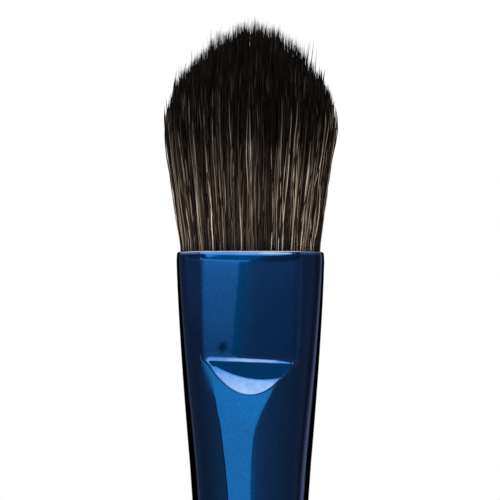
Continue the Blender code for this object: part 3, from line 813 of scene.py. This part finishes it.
# A dim warm surround, with a thin paler strip behind each side and black beyond it, so that the
# edges read black, and a soft light straight behind. A softbox stands at the left in its dark
# frame, a top light over it. A flag close to the head keeps the softbox off the right half of
# the pressed face, and two cards high at the sides light the ends of the rim.
surroundGlow = (
    (-180, "#ffffff", 0.7), (-168, "#ffffff", 0.7), (-165, "#000000", 0), (-136, "#000000", 0),
    (-132, "#ff8989", 0.002), (-128, "#ff9c85", 0.03),
    (-124.5, "#ffa287", 0.33), (-121.5, "#ffae94", 0.6), (-118.5, "#ffc0ac", 0.31),
    (-115.5, "#ffbbb5", 0.16), (-109.5, "#ffa59b", 0.27), (-103.5, "#ff9892", 0.28),
    (-95, "#ff8f8a", 0.3), (-85, "#ff9492", 0.32), (-75, "#ff999b", 0.35), (-65, "#ffa6a7", 0.36),
    (-50, "#ffb2b2", 0.36), (0, "#82f2ff", 0.45), (3, "#aaf3ff", 0.4), (7, "#f3f3ff", 0.3),
    (12, "#ffd4dc", 0.32), (25, "#ffb1b5", 0.376), (35, "#ffacb1", 0.36), (45, "#ffaaae", 0.353),
    (65, "#ff9695", 0.366), (75, "#ff8c8c", 0.37), (85, "#ff8886", 0.365), (95, "#ff8f88", 0.368),
    (101, "#ff8f83", 0.33), (104.5, "#ff8c85", 0.18), (107.5, "#ff8c85", 0.17),
    (110.5, "#ff8b82", 0.225), (113.5, "#ff897e", 0.38), (116.5, "#ff9282", 0.8),
    (119.5, "#ff9f90", 0.92), (122.5, "#ffaea0", 0.9), (125.5, "#ffc0ae", 0.93),
    (128.5, "#ffd9c5", 0.33), (131.5, "#ffe7d7", 0.02), (134, "#000000", 0),
    (165, "#000000", 0), (168, "#ffffff", 0.7), (180, "#ffffff", 0.7))
softGlow = ((-20, "#f2ffff", 0.95), (3, "#eaffff", 0.98), (6, "#d2ffff", 1.12), (13, "#c8ffff", 1.2))
flagEdge = ((-0.4, -5.5), (0.19, -5.1), (1.14, -4.5), (2.49, -3.9), (5.17, -3.4), (7.84, -3), (10.54, -2.4),
            (15.9, -1.7), (16.2, 0.2), (18.15, 2.5), (19, 6), (21.4, 11), (30, 16), (42, 20))
addCard("surround", left=((-50, -180), (64, -180)), right=((-50, 180), (64, 180)), columns=surroundGlow,
        distance=studio["surroundDistance"], segments=240)
addCard("softboxFrame",
        left=((-20, -40.5), (-5, -46.2), (-3, -48.2), (-1, -51.5), (0, -52.7), (1, -54.2), (2, -57),
              (3, -61.5), (3.3, -64)),
        right=((-20, -37.5), (-5, -43), (-3, -45), (-1, -48.3), (0, -49.5), (1, -51), (2, -53.8),
               (3, -57.5), (3.3, -60)),
        rows=((-20, "#ff9aa2", 0.1), (12, "#ff9aa2", 0.1)),
        distance=studio["cardDistance"] + studio["layerGap"])
addCard("softbox",
        left=((-20, -38.5), (-5, -44), (-3, -46), (-1, -49.3), (0, -50.5), (1, -52), (2, -54.8),
              (2.8, -58.2), (3.2, -59), (3.4, -61), (3.6, -64), (4.2, -66), (11.5, -66)),
        right=((-20, -2.5), (-5, -0.5), (-3, 0.2), (-1, 1.2), (0, 1.9), (1, 3.2), (2, 4.8), (3, 8.2),
               (3.5, 11), (4, 14), (4.5, 17.3), (5, 21.8), (5.5, 28), (6, 36), (6.4, 42), (11.5, 48)),
        rows=softGlow)
addCard("softboxWing", left=((2.1, -82), (3.6, -76)),
        right=((2.1, -80.8), (2.52, -74.4), (2.79, -70.6), (3.09, -66.7), (3.35, -63), (3.6, -60)),
        rows=softGlow, distance=studio["cardDistance"] - studio["layerGap"])
addCard("flag", left=flagEdge, right=((-0.4, 24), (42, 24)), distance=studio["flagDistance"],
        shares=((0, "#70f8ff", 0.44), (0.06, "#a0faff", 0.35), (0.11, "#f0f9ff", 0.33),
                (0.15, "#ffe1e1", 0.37), (0.24, "#ffc8d4", 0.38), (1, "#ffa8b6", 0.38)),
        rows=((-0.4, "#ffffff", 0.95), (14, "#ffffff", 1), (16, "#ffffff", 0.9), (18, "#ffffff", 0.5),
              (42, "#ffffff", 0.5)))
addCard("flagSide", left=((-0.4, 24), (24, 24)), right=((-0.4, 75), (24, 75)),
        distance=studio["flagDistance"],
        rows=((-0.4, "#ffadb1", 0.36), (16, "#ffadb1", 0.34), (18, "#ffadb1", 0.18), (24, "#ffadb1", 0.18)))
addCard("faceLight", left=((-2, -95), (15, -95)), right=((-2, -5.6),) + flagEdge[:7] + ((15, -1.8),),
        distance=studio["flagDistance"],
        rows=((-2, "#ffdfe6", 0.5), (-0.4, "#ffdfe6", 0.52), (1, "#ffdfe6", 0.6), (2.4, "#ffdfe6", 0.66),
              (4.6, "#ffe4ea", 0.74), (7.8, "#ffe4ea", 0.8), (10.8, "#ffe4ea", 0.77),
              (13, "#ffe4ea", 0.95), (15, "#f8f4ff", 1)),
        columns=((-95, "#ffbcbc", 0.42), (-66, "#ffbcbc", 0.46), (-50, "#ffffff", 0.6), (-34, "#ffffff", 1),
                 (0, "#ffffff", 1)))
addCard("cornerShade", left=((17, -75), (24, -75)), right=((17, -34), (24, -34)),
        distance=studio["flagDistance"], rows=((17, "#ffadb1", 0.3), (24, "#ffadb1", 0.2)))
addCard("rimLightLeft", left=((16, -140), (60, -140)), right=((16, -77), (60, -66)),
        rows=((16, "#fff6ff", 0.75), (60, "#fff6ff", 0.8)))
addCard("rimLightRight", left=((16, 66), (60, 64)), right=((16, 130), (60, 130)),
        shares=((0, "#fff0f6", 0.75), (1, "#fff0f6", 0.2)))
addCard("topLight", left=((13.5, -75), (47, -62)), right=((13.5, 23), (47, 27)),
        rows=((13.5, "#ffffff", 1.6), (47, "#ffffff", 1.75)))
addCard("ceiling", left=((47.5, -75), (64, -75)), right=((47.5, 30), (64, 30)),
        rows=((47.5, "#a0f1ff", 0.27), (64, "#a0f1ff", 0.27)))


def addLamp(name, azimuth, elevation, distance, size, watts):
    # A square lamp that looks at the head and lights what is not a mirror
    lamp = bpy.data.lights.new(name, "AREA")
    lamp.size = size
    lamp.energy = watts
    holder = bpy.data.objects.new(name, lamp)
    bpy.context.scene.collection.objects.link(holder)
    aim = direction(azimuth, elevation)
    holder.location = aim * distance + Vector((0, 0, studio["headZ"]))
    holder.rotation_euler = aim.to_track_quat("Z", "Y").to_euler()
    holder.visible_camera = False
    holder.visible_glossy = False


addLamp("keyLamp", azimuth=-38, elevation=30, distance=0.5, size=0.35, watts=1.6)
addLamp("fillLamp", azimuth=45, elevation=20, distance=0.6, size=0.4, watts=1.2)

world = bpy.data.worlds.new("paleStudio")
bpy.context.scene.world = world
world.use_nodes = True
tree = world.node_tree
tree.nodes.clear()
path = addNode(tree, "LightPath").outputs
seen = addNode(tree, "Math", {0: path["Is Camera Ray"], 1: path["Is Glossy Ray"]}, operation="MAXIMUM")
seen = addNode(tree, "Math", {0: seen.outputs[0], 1: path["Is Transmission Ray"]}, operation="MAXIMUM")
soft = addNode(tree, "Background", {"Color": fromHex("#f4f4f6"), "Strength": 0.5}).outputs[0]
white = addNode(tree, "Background", {"Strength": 1.0, "Color": (1, 1, 1, 1)}).outputs[0]
both = addNode(tree, "MixShader", {0: seen.outputs[0], 1: soft, 2: white}).outputs[0]
addNode(tree, "OutputWorld", {"Surface": both})

paleFloor, tree, surface = newMaterial("paleFloor", Roughness=0.8)
place = addNode(tree, "TexCoord").outputs["Object"]
mottle = addNode(tree, "TexNoise", {"Vector": place, "Scale": 1 / studio["floorMottle"], "Detail": 3.0})
tone = addNode(tree, "ValToRGB", {"Fac": mottle.outputs["Fac"]})
for element, colour in zip(tone.color_ramp.elements, ("#e9e9ea", "#f0f0f0")):
    element.color = fromHex(colour)
tree.links.new(tone.outputs["Color"], surface.inputs["Base Color"])
bm = bmesh.new()
bmesh.ops.create_grid(bm, x_segments=1, y_segments=1, size=studio["floorHalf"])
floor = newPiece("floor", bm, paleFloor)

lens = bpy.data.cameras.new("camera")
lens.lens = lens.sensor_width * studio["distance"] / studio["viewWidth"]
camera = bpy.data.objects.new("camera", lens)
bpy.context.scene.collection.objects.link(camera)
aim = direction(0, studio["elevation"])
camera.location = aim * studio["distance"] + Vector((studio["aimX"], 0, studio["aimZ"]))
camera.rotation_euler = aim.to_track_quat("Z", "Y").to_euler()
bpy.context.scene.camera = camera
bpy.context.scene.view_settings.view_transform = "Standard"
print("studio lit")
